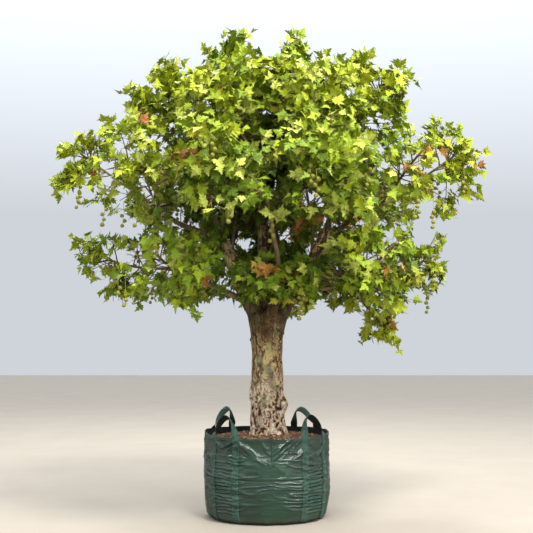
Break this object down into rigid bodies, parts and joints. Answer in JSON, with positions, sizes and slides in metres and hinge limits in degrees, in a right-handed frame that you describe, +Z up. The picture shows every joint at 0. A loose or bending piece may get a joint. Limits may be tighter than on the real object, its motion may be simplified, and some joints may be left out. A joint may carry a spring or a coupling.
{
  "type": "sapling with root ball",
  "caption": "Young broad-crowned plane tree with a stout mottled trunk, its root ball in a woven green planter bag with webbing lifting loops.",
  "frame": {"origin": "middle of the planter bag's flat underside", "axes": "+Z up along the trunk, -Y towards the camera of the picture, +X to its right"},
  "size_m": [3.7093, 3.1639, 4.1844],
  "materials": {
    "woven_bag": "glossy coated weave",
    "webbing": "ribbed webbing",
    "root_ball": "bark mulch over potting soil",
    "bark": "flaking mottled bark",
    "young_bark": "smooth young bark",
    "foliage": "leaves, twigs and hanging fruit"
  },
  "bodies": {
    "root": {"bough_back": "bark", "bough_front": "bark", "bough_left": "bark", "bough_right": "bark", "crest_left": "young_bark", "crest_right": "young_bark", "foliage_crest_0": "foliage", "foliage_crest_1": "foliage", "foliage_crest_2": "foliage", "foliage_crest_3": "foliage", "foliage_front_spray": "foliage", "foliage_low_spray": "foliage", "foliage_shoulder_0": "foliage", "foliage_shoulder_1": "foliage", "foliage_shoulder_2": "foliage", "foliage_shoulder_3": "foliage", "foliage_shoulder_4": "foliage", "foliage_shoulder_5": "foliage", "foliage_skirt_0": "foliage", "foliage_skirt_1": "foliage", "foliage_skirt_2": "foliage", "foliage_skirt_3": "foliage", "foliage_skirt_4": "foliage", "foliage_skirt_5": "foliage", "foliage_skirt_7": "foliage", "foliage_spread_0": "foliage", "foliage_spread_1": "foliage", "foliage_spread_2": "foliage", "foliage_spread_3": "foliage", "foliage_spread_4": "foliage", "foliage_spread_5": "foliage", "foliage_spread_6": "foliage", "foliage_spread_7": "foliage", "foliage_spread_8": "foliage", "foliage_spread_9": "foliage", "leader": "bark", "lifting_loop_back_left": "webbing", "lifting_loop_back_right": "webbing", "lifting_loop_front_left": "webbing", "lifting_loop_front_right": "webbing", "low_back": "young_bark", "low_front": "young_bark", "low_left": "young_bark", "low_right": "young_bark", "out_back": "young_bark", "out_front": "young_bark", "out_left": "young_bark", "out_right": "young_bark", "planter_bag": "woven_bag", "root_ball": "root_ball", "trunk": "bark", "up_back": "young_bark", "up_front": "young_bark", "up_left": "young_bark", "up_right": "young_bark"}
  },
  "joints": []
}
